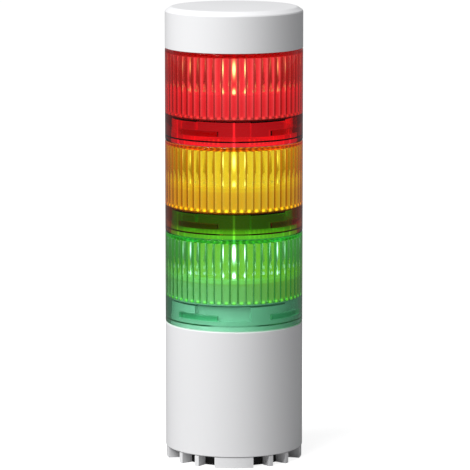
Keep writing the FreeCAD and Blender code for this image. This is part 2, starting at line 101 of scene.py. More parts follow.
# ---- sizes and colours that a user would change ----------------------------------------------------
class LensSizes(bpy.types.PropertyGroup):
    """Section of a lens moulding, from the shoulder that it stands on."""
    skirt_wall: length("Skirt wall", "Wall of the smooth skirt", 0.0021)
    neck_gap: length("Neck gap", "Radial gap from neck to skirt", 0.0007)
    neck_height: length("Neck height", "Neck above its shoulder", 0.0102)
    neck_wall: length("Neck wall", "Wall of the neck", 0.0038)
    ledge_height: length("Ledge height", "Ledge inside the neck, above the shoulder", 0.004)
    ledge_width: length("Ledge width", "Ledge inside the neck", 0.0018)
    shoulder: length("Shoulder", "Thickness of the roof that carries the neck", 0.002)
    joint_gap: length("Joint gap", "Skirt above the shoulder below", 0.0003)
    edge_round: length("Edge round", "Round of the outer edges", 0.0005)
    foot_round: length("Foot round", "Round of the skirt's lower edge", 0.00025)
    track_count: IntProperty(name="Tracks", description="Bayonet tracks and lugs", default=4, min=1)
    track_depth: length("Track depth", "Depth of a bayonet track", 0.002)
    track_floor: length("Track floor", "Track above the shoulder", 0.0042)
    track_height: length("Track height", "Height of the roofed arm", 0.0027)
    track_end: degrees("Track end", "Closed end of the first track", -56.0)
    track_arm: degrees("Track arm", "Length of the roofed arm", 19.0)
    track_entry: degrees("Track entry", "Width of the open part", 52.5)
    lug_arc: degrees("Lug", "Length of a lug", 40.5)
    lug_play: degrees("Lug play", "Lug to the closed end", 0.7)
    lug_gap: length("Lug gap", "Lug to track, above and below", 0.0003)
    lug_tip_gap: length("Lug tip gap", "Lug to the bottom of the track", 0.0004)
    mouth_height: length("Mouth height", "Wider mouth of the skirt, above the shoulder below", 0.002)
    mouth_depth: length("Mouth depth", "Mouth beyond the skirt's inner face", 0.0006)
    rib_count: IntProperty(name="Ribs", description="Upright ribs inside the window", default=54, min=3)
    rib_height: length("Rib height", "Crest above the skirt's inner face", 0.0008)
    rib_foot: length("Rib foot", "Lower end of the ribs, above the shoulder below", 0.0118)
    rib_nose: length("Rib nose", "Rounded end of a rib", 0.0009)
    rib_steps: IntProperty(name="Rib steps", description="Columns of the mesh in one rib", default=12, min=4)


class LightColours(bpy.types.PropertyGroup):
    """Clear plastics and the painted light of the units."""
    green_clear: colour("Green plastic", "Colour through one wall of the green moulding", (0.60, 0.92, 0.76))
    amber_clear: colour("Amber plastic", "Colour through one wall of the amber moulding", (0.90, 0.52, 0.05))
    red_clear: colour("Red plastic", "Colour through one wall of the red moulding", (0.84, 0.06, 0.07))
    # Painted light: the LEDs' light on the boards, reflectors and carriers, painted as the plastic's own
    # glow.
    green_light: colour("Green light", "Light of the green LEDs on white plastic", (0.19, 0.34, 0.003))
    amber_light: colour("Amber light", "Light of the amber LEDs on white plastic", (0.50, 0.86, 0.9))
    red_light: colour("Red light", "Light of the red LEDs on white plastic", (0.74, 0.8, 1.0))
    green_wall: colour("Green wall", "Light of the green LEDs on the wall below them", (0.14, 0.18, 0.0))
    amber_wall: colour("Amber wall", "Light of the amber LEDs on the wall below them", (0.44, 0.64, 0.9))
    red_wall: colour("Red wall", "Light of the red LEDs on the wall below them", (0.68, 0.7, 0.9))
    green_edge: colour("Green edge", "What the green moulding lets through edge-on", (0.0, 0.03, 0.01))
    amber_edge: colour("Amber edge", "What the amber moulding lets through edge-on", (0.35, 0.0, 0.0))
    red_edge: colour("Red edge", "What the red moulding lets through edge-on", (0.4, 0.0, 0.0))
    # Painted light on the mouldings: a glow in the necks, lamp light on the inside of the skirts, and light
    # on the ribs.
    green_neck: colour("Green neck", "Light in the neck of the green moulding", (0.07, 0.37, 0.12))
    amber_neck: colour("Amber neck", "Light in the neck of the amber moulding", (0.42, 0.11, 0.20))
    red_neck: colour("Red neck", "Light in the neck of the red moulding", (0.1, 0.005, 0.005))
    green_skirt: colour("Green skirt", "Light on the inside of the green skirt", (0.03, 0.08, 0.05))
    amber_skirt: colour("Amber skirt", "Light on the inside of the amber skirt", (0.0, 0.0, 0.0))
    red_skirt: colour("Red skirt", "Light on the inside of the red skirt", (0.0, 0.0, 0.0))
    green_ribs: colour("Green ribs", "Light that the ribs of the green moulding scatter", (0.06, 0.15, 0.01))
    amber_ribs: colour("Amber ribs", "Light that the ribs of the amber moulding scatter", (0.28, 0.42, 0.2))
    red_ribs: colour("Red ribs", "Light that the ribs of the red moulding scatter", (0.17, 0.5, 0.35))
    # Painted highlights and reflections: the images of the LEDs on the inner lenses.
    green_image: colour("Green image", "Colour of a green LED's image", (0.85, 0.95, 0.9))
    amber_image: colour("Amber image", "Colour of an amber LED's image", (0.10, 0.22, 0.7))
    red_image: colour("Red image", "Colour of a red LED's image", (0.03, 0.8, 0.2))
    green_power: amount("Green power", "Brightness of a green LED's image", 5.0, 1000.0)
    amber_power: amount("Amber power", "Brightness of an amber LED's image", 20.0, 1000.0)
    red_power: amount("Red power", "Brightness of a red LED's image", 70.0, 1000.0)
    green_dim: amount("Green dim", "Share of the neck's light that reaches its top", 0.2)
    amber_dim: amount("Amber dim", "Share of the neck's light that reaches its top", 0.65)
    red_dim: amount("Red dim", "Share of the neck's light that reaches its top", 0.65)
    green_valley: amount("Green valleys", "Extra light between the green ribs", 0.0, 10.0)
    amber_valley: amount("Amber valleys", "Extra light between the amber ribs", 0.0, 10.0)
    red_valley: amount("Red valleys", "Extra light between the red ribs", 1.2, 10.0)
    green_passing: amount("Green passing", "Share of the lamps' light that the green moulding lets in", 0.55)
    amber_passing: amount("Amber passing", "Share of the lamps' light that the amber moulding lets in", 0.0)
    red_passing: amount("Red passing", "Share of the lamps' light that the red moulding lets in", 0.0)
    # Painted glints at the ribs' feet, then the strength of the painted light on the roofs, on the lit
    # plastic and on the mouldings.
    dots: amount("Rib foot dots", "Light of the dots at the ribs' feet, as a share of the ribs'", 6.0, 100.0)
    roof: amount("Roof light", "Light of a window's roof, as a share of its ribs'", 2.0, 10.0)
    glow: amount("Glow", "Brightness of the lit plastic", 1.0, 10.0)
    guided: amount("Guided light", "Brightness of the light that the mouldings guide", 1.0, 10.0)
    led_window: amount("LED window", "Brightness of an LED's own window, as a share of its image", 0.12)
    led_count: IntProperty(name="LEDs", description="LEDs on each board", default=6, min=1)
    # Shape and place of the painted LED images.
    image_sharpness: amount("Image sharpness", "How narrow an LED's image is", 70.0, 1000.0)
    image_blend: amount("Image blend", "How soon an image fades on a face that turns away", 0.83)
    lower_height: length("Lower image", "Middle of the lower image above the board", 0.0008)
    lower_width: length("Lower image width", "Half height of the lower image", 0.0012)
    lower_power: amount("Lower image power", "Share of the image's brightness", 0.8)
    upper_height: length("Upper image", "Middle of the upper image above the board", 0.0105)
    upper_width: length("Upper image width", "Half height of the upper image", 0.0026)
    upper_power: amount("Upper image power", "Share of the image's brightness", 1.0)
    # How the painted glow fades away from the LEDs on carriers, boards and reflectors.
    carrier_reach: length("Carrier reach", "How far the light reaches along a carrier", 0.03)
    board_reach: length("Board reach", "How far the light reaches from a board", 0.02)
    reflector_reach: length("Reflector reach", "How far the light reaches up a reflector", 0.012)
    carrier_low: amount("Carrier low", "Share of the light far from the LEDs on a carrier", 0.85)
    board_low: amount("Board low", "Share of the light far from the LEDs on a board", 0.9)
    reflector_low: amount("Reflector low", "Share of the light far from the LEDs on a reflector", 0.85)
    ior: amount("Refraction", "Refractive index of the clear plastics", 1.49, 3.0)
    mirror: amount("Mirror", "Share of the plain reflection that the clear plastics keep", 0.3)
    inner_clear: colour("Inner lens", "Colour through one wall of an inner lens", (0.98, 0.98, 0.98))
    inner_edge: colour("Inner lens edge", "What an inner lens lets through edge-on", (0.9, 0.9, 0.9))
    inner_wall: length("Inner lens wall", "Wall of an inner lens", 0.0012)


class PlasticColours(bpy.types.PropertyGroup):
    """Opaque plastics, boards and metals."""
    white: colour("White plastic", "Body, base and cap", (0.80, 0.80, 0.81))
    white_roughness: amount("White roughness", "Roughness of the white plastic", 0.42)
    grain: amount("Grain", "Depth of the moulded grain", 0.06)
    inner_white: colour("Inner white", "Carriers and reflectors", (0.55, 0.55, 0.53))
    black: colour("Black plastic", "Contact discs and chips", (0.012, 0.012, 0.013))
    rubber: colour("Rubber", "Gasket, grommet and seals", (0.016, 0.016, 0.017))
    board_white: colour("White board", "White solder mask", (0.62, 0.62, 0.60))
    board_green: colour("Green board", "Green solder mask", (0.012, 0.11, 0.035))
    terminal: colour("Terminal green", "Terminal block", (0.02, 0.20, 0.05))
    led_package: colour("LED package", "White package of an LED", (0.8, 0.8, 0.75))
    gold: colour("Gold", "Contact pads and springs", (0.83, 0.58, 0.22))
    brass: colour("Brass", "Panel inserts", (0.70, 0.48, 0.20))
    steel: colour("Steel", "Screws", (0.56, 0.57, 0.58))
    aluminium: colour("Aluminium", "Capacitor cans", (0.72, 0.72, 0.74))


class StudioSizes(bpy.types.PropertyGroup):
    """Camera, lamps and floor."""
    camera_distance: length("Camera distance", "Camera to its aim", 1.5)
    camera_elevation: degrees("Camera elevation", "Camera above the horizon", 9.0)
    camera_lens: amount("Focal length", "Focal length in millimetres", 262.9, 1000.0)
    aim_height: length("Aim height", "Height of the camera's aim", 0.0977)
    aim_side: length("Aim side", "Camera's aim to the right of the axis", 0.00044)
    key_power: amount("Key power", "Power of the key lamp in watts", 76.0, 1000.0)
    key_azimuth: degrees("Key azimuth", "Key lamp from the front, positive towards the right", -44.0)
    key_elevation: degrees("Key elevation", "Key lamp above the horizon", 50.0)
    key_distance: length("Key distance", "Key lamp to the object's middle", 2.4)
    key_size: length("Key size", "Side of the key lamp", 1.6)
    sky: amount("Sky", "Even light from all round", 0.22)
    sky_tint: colour("Sky tint", "Colour of the even light", (0.97, 0.98, 1.0))
    backdrop: amount("Backdrop", "Brightness of the background", 1.0)
    glimpse: amount("Glimpse", "Share of the backdrop that mirrors and clear plastics show", 0.15)
    floor_shade: amount("Floor shade", "How much light the floor throws back", 0.42)
    floor_lift: amount("Floor lift", "Brightness that is seen on top of the lit floor", 0.86)
    floor_half: length("Floor", "Half the side of the floor", 3.0)


GROUPS = {"lens": LensSizes, "light": LightColours, "plastic": PlasticColours, "studio": StudioSizes}


# ---- node helpers ----------------------------------------------------------------------------------
FLOAT = "NodeSocketFloat"
COLOR = "NodeSocketColor"


class Nodes:
    """Short way to add and join nodes in a tree."""

    def __init__(self, tree):
        self.tree = tree

    def add(self, kind, inputs=None, **settings):
        """New node with its settings, and its inputs set or joined."""
        node = self.tree.nodes.new(kind)
        for key, value in settings.items():
            setattr(node, key, value)
        for key, value in (inputs or {}).items():
            self.feed(node.inputs[key], value)
        return node

    def feed(self, socket, value):
        """Joins a socket to another, or sets its value."""
        if isinstance(value, bpy.types.NodeSocket):
            self.tree.links.new(value, socket)
        else:
            socket.default_value = value

    def maths(self, operation, *values):
        """Result of a sum on numbers or sockets."""
        node = self.add("ShaderNodeMath", operation=operation)
        for socket, value in zip(node.inputs, values):
            self.feed(socket, value)
        return node.outputs[0]

    def mixed(self, factor, first, second, blend="MIX"):
        """Two colours mixed."""
        node = self.add("ShaderNodeMix", data_type="RGBA", blend_type=blend)
        for name, value in (("Factor_Float", factor), ("A_Color", first), ("B_Color", second)):
            socket = next(s for s in node.inputs if s.identifier == name)
            self.feed(socket, value)
        return next(s for s in node.outputs if s.identifier == "Result_Color")

    def ranged(self, value, low, high, first=0.0, second=1.0, smooth=True):
        """A number taken from one range to another."""
        kind = "SMOOTHSTEP" if smooth else "LINEAR"
        node = self.add("ShaderNodeMapRange", interpolation_type=kind, clamp=True)
        for socket, item in zip(node.inputs, (value, low, high, first, second)):
            self.feed(socket, item)
        return node.outputs[0]

    def grey(self, value):
        """Colour of a number."""
        return self.add("ShaderNodeCombineColor", {"Red": value, "Green": value, "Blue": value}).outputs[0]

    def scaled(self, tint, factor):
        """A colour times a number."""
        return self.mixed(1.0, tint, self.grey(factor), "MULTIPLY")

    def bell(self, value, middle, width):
        """Smooth hump of height one round a middle value."""
        away = self.maths("DIVIDE", self.maths("SUBTRACT", value, middle), width)
        return self.maths("EXPONENT", self.maths("MULTIPLY", self.maths("MULTIPLY", away, away), -1.0))

    def position(self):
        """Coordinates of the shaded point in the object's own frame."""
        place = self.add("ShaderNodeTexCoord").outputs["Object"]
        return self.add("ShaderNodeSeparateXYZ", {"Vector": place}).outputs

    def peaks(self, place, count, sharpness):
        """Peaks at even steps round the axis, the first towards the front."""
        angle = self.maths("ARCTAN2", place["X"], self.maths("MULTIPLY", place["Y"], -1.0))
        wave = self.maths("COSINE", self.maths("MULTIPLY", angle, count))
        return self.maths("POWER", self.maths("MULTIPLY_ADD", wave, 0.5, 0.5), sharpness)

    def first_sight(self):
        """One until a ray has been scattered, then zero."""
        path = self.add("ShaderNodeLightPath").outputs
        return self.maths("LESS_THAN", path["Diffuse Depth"], 0.5)


def rgba(values):
    """A colour with full alpha."""
    return (*values, 1.0)


def group_tree(name, inputs, outputs):
    """New shader node group with named sockets. Returns its nodes, its inputs and its outputs to feed."""
    tree = bpy.data.node_groups.new(name, "ShaderNodeTree")
    for label, kind, default in inputs:
        socket = tree.interface.new_socket(name=label, in_out="INPUT", socket_type=kind)
        socket.default_value = default
    for label, kind in outputs:
        tree.interface.new_socket(name=label, in_out="OUTPUT", socket_type=kind)
    nodes = Nodes(tree)
    source = nodes.add("NodeGroupInput")
    sink = nodes.add("NodeGroupOutput")
    return nodes, source.outputs, sink.inputs


def moulded_grain_group():
    """Fine grain, faint flow shade and roughness of a moulded plastic."""
    flow_scale = 26.0
    roughness_swing = 0.18
    nodes, given, out = group_tree(
        "moulded grain",
        [("Color", COLOR, (0.8, 0.8, 0.8, 1.0)), ("Scale", FLOAT, 2200.0), ("Variation", FLOAT, 0.03),
         ("Roughness", FLOAT, 0.4)],
        [("Color", COLOR), ("Roughness", FLOAT), ("Height", FLOAT)])
    place = nodes.add("ShaderNodeTexCoord").outputs["Object"]
    fine = nodes.add("ShaderNodeTexNoise", {"Vector": place, "Scale": given["Scale"], "Detail": 2.0,
                                            "Roughness": 0.6}).outputs[0]
    broad = nodes.add("ShaderNodeTexNoise", {"Vector": place, "Scale": flow_scale, "Detail": 3.0}).outputs[0]
    flow = nodes.maths("SUBTRACT", broad, 0.5)
    nodes.feed(out["Color"], nodes.scaled(given["Color"], nodes.maths(
        "MULTIPLY_ADD", flow, given["Variation"], 1.0)))
    nodes.feed(out["Roughness"], nodes.maths("MULTIPLY_ADD", flow, roughness_swing, given["Roughness"]))
    nodes.feed(out["Height"], fine)
    return nodes.tree


def led_glow_group():
    """Painted light that a ring of LEDs throws on the plastic round it, stronger near them."""
    fade_in = 0.0008
    nodes, given, out = group_tree(
        "LED glow",
        [("Color", COLOR, (1.0, 1.0, 1.0, 1.0)), ("Floor", FLOAT, 0.0), ("Height", FLOAT, 0.0),
         ("Reach", FLOAT, 0.02), ("Low", FLOAT, 0.5)],
        [("Color", COLOR)])
    place = nodes.position()
    above = nodes.ranged(place["Z"], given["Floor"], nodes.maths("ADD", given["Floor"], fade_in))
    near = nodes.bell(place["Z"], given["Height"], given["Reach"])
    lit = nodes.maths("MULTIPLY_ADD", near, nodes.maths("SUBTRACT", 1.0, given["Low"]), given["Low"])
    nodes.feed(out["Color"], nodes.scaled(given["Color"], nodes.maths("MULTIPLY", lit, above)))
    return nodes.tree


def led_image_group():
    """Painted images of a ring of LEDs: a painted highlight at their own level and a taller painted
    reflection that the reflector throws.
    """
    nodes, given, out = group_tree(
        "LED image",
        [("Color", COLOR, (1.0, 1.0, 1.0, 1.0)), ("Count", FLOAT, 6.0), ("Sharpness", FLOAT, 160.0),
         ("Lower Height", FLOAT, 0.0), ("Lower Width", FLOAT, 0.001), ("Lower Power", FLOAT, 1.0),
         ("Upper Height", FLOAT, 0.01), ("Upper Width", FLOAT, 0.004), ("Upper Power", FLOAT, 1.0)],
        [("Color", COLOR)])
    place = nodes.position()
    lower, upper = (nodes.maths("MULTIPLY", given[level + " Power"], nodes.bell(
        place["Z"], given[level + " Height"], given[level + " Width"])) for level in ("Lower", "Upper"))
    image = nodes.maths("MULTIPLY", nodes.maths("ADD", lower, upper),
                        nodes.peaks(place, given["Count"], given["Sharpness"]))
    nodes.feed(out["Color"], nodes.scaled(given["Color"], image))
    return nodes.tree


def painted_lens_light_group():
    """Painted light of a clear moulding: a painted glow in its neck, painted lamp light on the inside of its
    skirt, and painted light on its ribs.
    """
    neck_rise = 0.0003
    fade_start, fade_end = 0.002, 0.005
    streak_sharpness, streak_power = 400.0, 2.0
    skin = 0.0006
    rib_sharpness, rib_low = 2.0, 0.4
    glint_height, glint_width = 0.0006, 0.0005
    roof_start, roof_end = 0.0004, 0.0001
    roof_crest, roof_low = 1.1, 0.25
    nodes, given, out = group_tree(
        "guided light",
        [("Neck Color", COLOR, (1.0, 1.0, 1.0, 1.0)), ("Skirt Color", COLOR, (0.0, 0.0, 0.0, 1.0)),
         ("Rib Color", COLOR, (0.0, 0.0, 0.0, 1.0)), ("Neck Dim", FLOAT, 0.3), ("Dots", FLOAT, 6.0),
         ("Foot", FLOAT, 0.012), ("Shoulder", FLOAT, 0.04), ("Roof", FLOAT, 0.002), ("Outer", FLOAT, 0.03),
         ("LEDs", FLOAT, 6.0), ("Ribs", FLOAT, 54.0), ("Roof Light", FLOAT, 1.0),
         ("Valley Light", FLOAT, 0.0)],
        [("Color", COLOR)])
    place = nodes.position()
    height = place["Z"]

    def past(socket, more):
        return nodes.maths("ADD", given[socket], more)

    # Painted glow in the neck, with painted streaks at the LEDs' angles, fading towards the neck's top.
    neck = nodes.ranged(height, given["Shoulder"], past("Shoulder", neck_rise))
    fade = nodes.ranged(height, past("Shoulder", fade_start), past("Shoulder", fade_end), 1.0,
                        given["Neck Dim"])
    images = nodes.peaks(place, given["LEDs"], streak_sharpness)
    streak = nodes.maths("MULTIPLY_ADD", images, streak_power, 1.0)
    neck_light = nodes.scaled(given["Neck Color"], nodes.maths("MULTIPLY", nodes.maths(
        "MULTIPLY", neck, fade), streak))

    # Painted light on the inside of the skirt and on the ribs: fainter towards the ribs' feet, with a painted
    # lit roof and extra painted light in the valleys.
    across = nodes.maths("SQRT", nodes.maths("MULTIPLY_ADD", place["X"], place["X"], nodes.maths(
        "MULTIPLY", place["Y"], place["Y"])))
    inside = nodes.maths("LESS_THAN", across, past("Outer", -skin))
    skirt = nodes.maths("MULTIPLY", inside, nodes.maths("LESS_THAN", height, given["Foot"]))
    window = nodes.maths("MULTIPLY", inside, nodes.maths("MULTIPLY", nodes.maths(
        "GREATER_THAN", height, given["Foot"]), nodes.maths("LESS_THAN", height, given["Shoulder"])))
    rise = nodes.ranged(height, given["Foot"], given["Shoulder"], rib_low, 1.0)
    crest = nodes.peaks(place, given["Ribs"], rib_sharpness)
    # Painted glints at the feet of the rib crests.
    dots = nodes.maths("MULTIPLY", crest, nodes.bell(height, past("Foot", glint_height), glint_width))
    ceiling = nodes.maths("SUBTRACT", given["Shoulder"], given["Roof"])
    roof_light = nodes.maths("MULTIPLY", given["Roof Light"], nodes.maths(
        "MULTIPLY_ADD", crest, roof_crest, roof_low))
    roof = nodes.ranged(height, nodes.maths("SUBTRACT", ceiling, roof_start),
                        nodes.maths("SUBTRACT", ceiling, roof_end), 1.0, roof_light)
    valley = nodes.maths("MULTIPLY_ADD", nodes.maths("SUBTRACT", 1.0, crest), given["Valley Light"], roof)
    ribs = nodes.maths("MULTIPLY", window, nodes.maths("MULTIPLY_ADD", dots, given["Dots"], nodes.maths(
        "MULTIPLY", rise, valley)))
    inner_light = nodes.mixed(1.0, nodes.scaled(given["Skirt Color"], skirt),
                              nodes.scaled(given["Rib Color"], ribs), "ADD")
    nodes.feed(out["Color"], nodes.mixed(1.0, neck_light, inner_light, "ADD"))
    return nodes.tree


# ---- materials -------------------------------------------------------------------------------------
GRAIN_SCALE = 2200.0        # grains in a metre
GRAIN_VARIATION = 0.03      # share by which the flow shades the colour
GRAIN_DEPTH = 0.0001        # metres
CLEAR_ROUGHNESS = 0.02
EDGE_BLEND = 0.5            # how soon a clear wall turns to its edge colour as it turns away


def new_material(name):
    """Empty material with a Principled shader. Returns the material, its nodes and the shader."""
    material = bpy.data.materials.new(name)
    material.use_nodes = True
    return opened(material)


def opened(material):
    """A material, its nodes and its shader."""
    return material, Nodes(material.node_tree), material.node_tree.nodes["Principled BSDF"]


def grained_material(name, tint, roughness, grain=0.05, metallic=0.0):
    """Moulded plastic, rubber or metal with a fine grain."""
    material, nodes, shader = new_material(name)
    effect = nodes.add("ShaderNodeGroup", {
        "Color": rgba(tint), "Scale": GRAIN_SCALE, "Variation": GRAIN_VARIATION, "Roughness": roughness},
        node_tree=bpy.data.node_groups["moulded grain"])
    nodes.feed(shader.inputs["Base Color"], effect.outputs["Color"])
    nodes.feed(shader.inputs["Roughness"], effect.outputs["Roughness"])
    bump = nodes.add("ShaderNodeBump", {
        "Height": effect.outputs["Height"], "Strength": grain, "Distance": GRAIN_DEPTH})
    nodes.feed(shader.inputs["Normal"], bump.outputs[0])
    shader.inputs["Metallic"].default_value = metallic
    return material


def clear_material(name, passed, wall, edge, light):
    """Clear moulded plastic: a colour passes one wall, and is deeper where it is thick or seen edge-on."""
    material, nodes, shader = new_material(name)
    facing = nodes.add("ShaderNodeLayerWeight", {"Blend": EDGE_BLEND}).outputs["Facing"]
    nodes.feed(shader.inputs["Base Color"], nodes.mixed(facing, rgba((1.0, 1.0, 1.0)), rgba(edge)))
    shader.inputs["Roughness"].default_value = CLEAR_ROUGHNESS
    shader.inputs["IOR"].default_value = light.ior
    shader.inputs["Specular Tint"].default_value = rgba([light.mirror] * 3)
    shader.inputs["Transmission Weight"].default_value = 1.0
    losses = [-math.log(part) / wall for part in passed]
    density = max(losses)
    volume = nodes.add("ShaderNodeVolumeAbsorption")
    volume.inputs["Color"].default_value = rgba([1.0 - loss / density for loss in losses])
    volume.inputs["Density"].default_value = density
    output = next(n for n in material.node_tree.nodes if n.type == "OUTPUT_MATERIAL")
    nodes.feed(output.inputs["Volume"], volume.outputs[0])
    return material


def lit_by_group(material, group, power, settings):
    """Adds the colour that a group puts out as painted light, the material's own light, for the rays that
    meet it alone.
    """
    material, nodes, shader = opened(material)
    effect = nodes.add("ShaderNodeGroup", settings, node_tree=bpy.data.node_groups[group])
    nodes.feed(shader.inputs["Emission Color"], effect.outputs["Color"])
    shader.inputs["Emission Strength"].default_value = power
    material.cycles.emission_sampling = "NONE"
    return material


def lens_material(unit, light, sizes, foot, shoulder, outer):
    """Clear plastic of a unit, with painted light in its neck, on its skirt and on its ribs, and the lamps'
    light that it passes.
    """
    material, nodes, shader = opened(clear_material(
        unit + "_clear_plastic", getattr(light, unit + "_clear"), sizes.skirt_wall,
        getattr(light, unit + "_edge"), light))
    passing = getattr(light, unit + "_passing")
    if passing > 0.0:
        shadow = nodes.add("ShaderNodeLightPath").outputs["Is Shadow Ray"]
        nodes.feed(shader.inputs["Alpha"], nodes.maths("MULTIPLY_ADD", shadow, -passing, 1.0))
    # Settings of the painted light in the neck, skirt and ribs.
    settings = {"Foot": foot, "Shoulder": shoulder, "Roof": sizes.shoulder, "Outer": outer,
                "LEDs": light.led_count, "Ribs": sizes.rib_count, "Dots": light.dots,
                "Roof Light": light.roof, "Neck Dim": getattr(light, unit + "_dim"),
                "Valley Light": getattr(light, unit + "_valley")}
    for label, key in (("Neck Color", "_neck"), ("Skirt Color", "_skirt"), ("Rib Color", "_ribs")):
        settings[label] = rgba(getattr(light, unit + key))
    return lit_by_group(material, "guided light", light.guided, settings)


def glow_material(piece, unit, tint, ray, light, floor, board):
    """White plastic with the LEDs' light painted on it as its own glow."""
    material = grained_material(unit + "_lit_" + piece, tint, roughness=0.5)
    return lit_by_group(material, "LED glow", light.glow, {
        "Color": rgba(ray), "Floor": floor, "Height": board, "Reach": getattr(light, piece + "_reach"),
        "Low": getattr(light, piece + "_low")})


def image_material(unit, light, board):
    """Clear inner lens with painted images of the LEDs on the board, brightest where it faces the viewer."""
    settings = {"Color": rgba(getattr(light, unit + "_image")), "Count": light.led_count,
                "Sharpness": light.image_sharpness}
    for level in ("Lower", "Upper"):
        key = level.lower()
        settings[level + " Height"] = board + getattr(light, key + "_height")
        settings[level + " Width"] = getattr(light, key + "_width")
        settings[level + " Power"] = getattr(light, key + "_power")
    clear = clear_material(unit + "_inner_clear_plastic", light.inner_clear, light.inner_wall,
                           light.inner_edge, light)
    lit = lit_by_group(clear, "LED image", getattr(light, unit + "_power"), settings)
    material, nodes, shader = opened(lit)
    source = shader.inputs["Emission Color"].links[0].from_socket
    # The painted images fade where the lens turns away from the viewer, and only rays that have not yet
    # scattered see them.
    facing = nodes.add("ShaderNodeLayerWeight", {"Blend": light.image_blend}).outputs["Facing"]
    straight = nodes.maths("MULTIPLY", nodes.maths("SUBTRACT", 1.0, facing), nodes.first_sight())
    nodes.feed(shader.inputs["Emission Color"], nodes.scaled(source, straight))
    return material


def window_material(unit, light, tint):
    """An LED: a white package whose window is lit."""
    material, nodes, shader = opened(grained_material(unit + "_lit_led", tint, roughness=0.35, grain=0.02))
    image = rgba(getattr(light, unit + "_image"))
    nodes.feed(shader.inputs["Emission Color"], nodes.scaled(image, nodes.first_sight()))
    shader.inputs["Emission Strength"].default_value = getattr(light, unit + "_power") * light.led_window
    material.cycles.emission_sampling = "NONE"
    return material


def glimpse(nodes):
    """One for a ray that sees a surface in a mirror or through clear plastic, zero once it is scattered."""
    path = nodes.add("ShaderNodeLightPath").outputs
    indirect = nodes.maths("MAXIMUM", path["Is Glossy Ray"], path["Is Transmission Ray"])
    return nodes.maths("MULTIPLY", nodes.first_sight(), indirect)


def seen(nodes, share):
    """One where a surface is seen directly, a share of it in a mirror or through clear plastic, else zero."""
    direct = nodes.add("ShaderNodeLightPath").outputs["Is Camera Ray"]
    return nodes.maths("MAXIMUM", direct, nodes.maths("MULTIPLY", glimpse(nodes), share))


def dress(node, material):
    """Gives a CAD node its finish."""
    slots = NODES[node].data.materials
    for i in range(len(slots)):
        slots[i] = material


# ---- mesh helpers ----------------------------------------------------------------------------------
def spot(radius, angle, z):
    """Point at a radius, an angle in degrees from the front, and a height."""
    turn = math.radians(angle)
    return (radius * math.sin(turn), -radius * math.cos(turn), z)


def quarter(centre_r, centre_z, size, start, stop, steps=3):
    """Points (radius, z) of a small round, between two directions in degrees from +radius."""
    turns = [math.radians(start + (stop - start) * i / steps) for i in range(steps + 1)]
    return [(centre_r + size * math.cos(t), centre_z + size * math.sin(t)) for t in turns]


WELD = 2e-7          # metres: points that lie closer than this are one
SHARP_EDGE = 35.0    # degrees: smooth shading breaks at a sharper edge


def mesh_object(name, points, faces, material):
    """Object from points and faces, welded, with smooth shading that breaks at sharp edges."""
    mesh = bpy.data.meshes.new(name)
    mesh.from_pydata(points, [], faces)
    work = bmesh.new()
    work.from_mesh(mesh)
    bmesh.ops.remove_doubles(work, verts=work.verts, dist=WELD)
    bmesh.ops.dissolve_degenerate(work, edges=work.edges, dist=WELD)
    bmesh.ops.recalc_face_normals(work, faces=work.faces)
    work.to_mesh(mesh)
    work.free()
    mesh.shade_smooth()
    mesh.set_sharp_from_angle(angle=math.radians(SHARP_EDGE))
    mesh.materials.append(material)
    piece = bpy.data.objects.new(name, mesh)
    bpy.context.scene.collection.objects.link(piece)
    return piece


def ring_mesh(name, columns, material):
    """Closed ring whose columns are (angle, profile) with the same number of (radius, z) points in each."""
    rows = len(columns[0][1])
    points = [spot(r, angle, z) for angle, profile in columns for r, z in profile]
    faces = []
    for c in range(len(columns)):
        nxt = (c + 1) % len(columns)
        for r in range(rows):
            down = (r + 1) % rows
            faces.append((c * rows + r, nxt * rows + r, nxt * rows + down, c * rows + down))
    return mesh_object(name, points, faces, material)


# ---- lens ------------------------------------------------------------------------------------------
def rib_radius(sizes, crest, valley, angle):
    """Radius of the ribbed inner face: each rib is an arc from valley to valley through its crest."""
    step = 360.0 / sizes.rib_count
    offset = math.radians((angle + step / 2) % step - step / 2)
    half = math.radians(step / 2)
    rise = valley * math.cos(half) - crest
    run = valley * math.sin(half)
    radius = (rise * rise + run * run) / (2 * rise)
    centre = crest + radius
    return centre * math.cos(offset) - math.sqrt(max(radius ** 2 - (centre * math.sin(offset)) ** 2, 0.0))


def lens_angles(sizes):
    """Columns of a lens: (angle, track state, lug state). A feature's edge has two at one angle."""
    pitch = 360.0 / sizes.track_count
    edges = []
    for i in range(sizes.track_count):
        start = sizes.track_end + i * pitch
        open_at = start + sizes.track_arm
        lug = start + sizes.lug_play
        edges += [(start, "track", "arm"), (open_at, "track", "entry")]
        edges += [(open_at + sizes.track_entry, "track", "")]
        edges += [(lug, "lug", True), (lug + sizes.lug_arc, "lug", False)]
    edges.sort()
    count = sizes.rib_count * sizes.rib_steps
    step = 360.0 / count
    nearest = step * 0.2
    first = math.ceil(edges[0][0] / step)
    plain = [(first + k) * step for k in range(count)]
    plain = [(a, "", None) for a in plain if all(abs(a - edge[0]) > nearest for edge in edges)]
    state = {"track": "", "lug": False}
    columns = []
    for angle, kind, value in sorted(edges + plain, key=lambda item: (item[0], not item[1])):
        if kind:
            columns.append((angle, state["track"], state["lug"]))
            state[kind] = value
        columns.append((angle, state["track"], state["lug"]))
    return columns


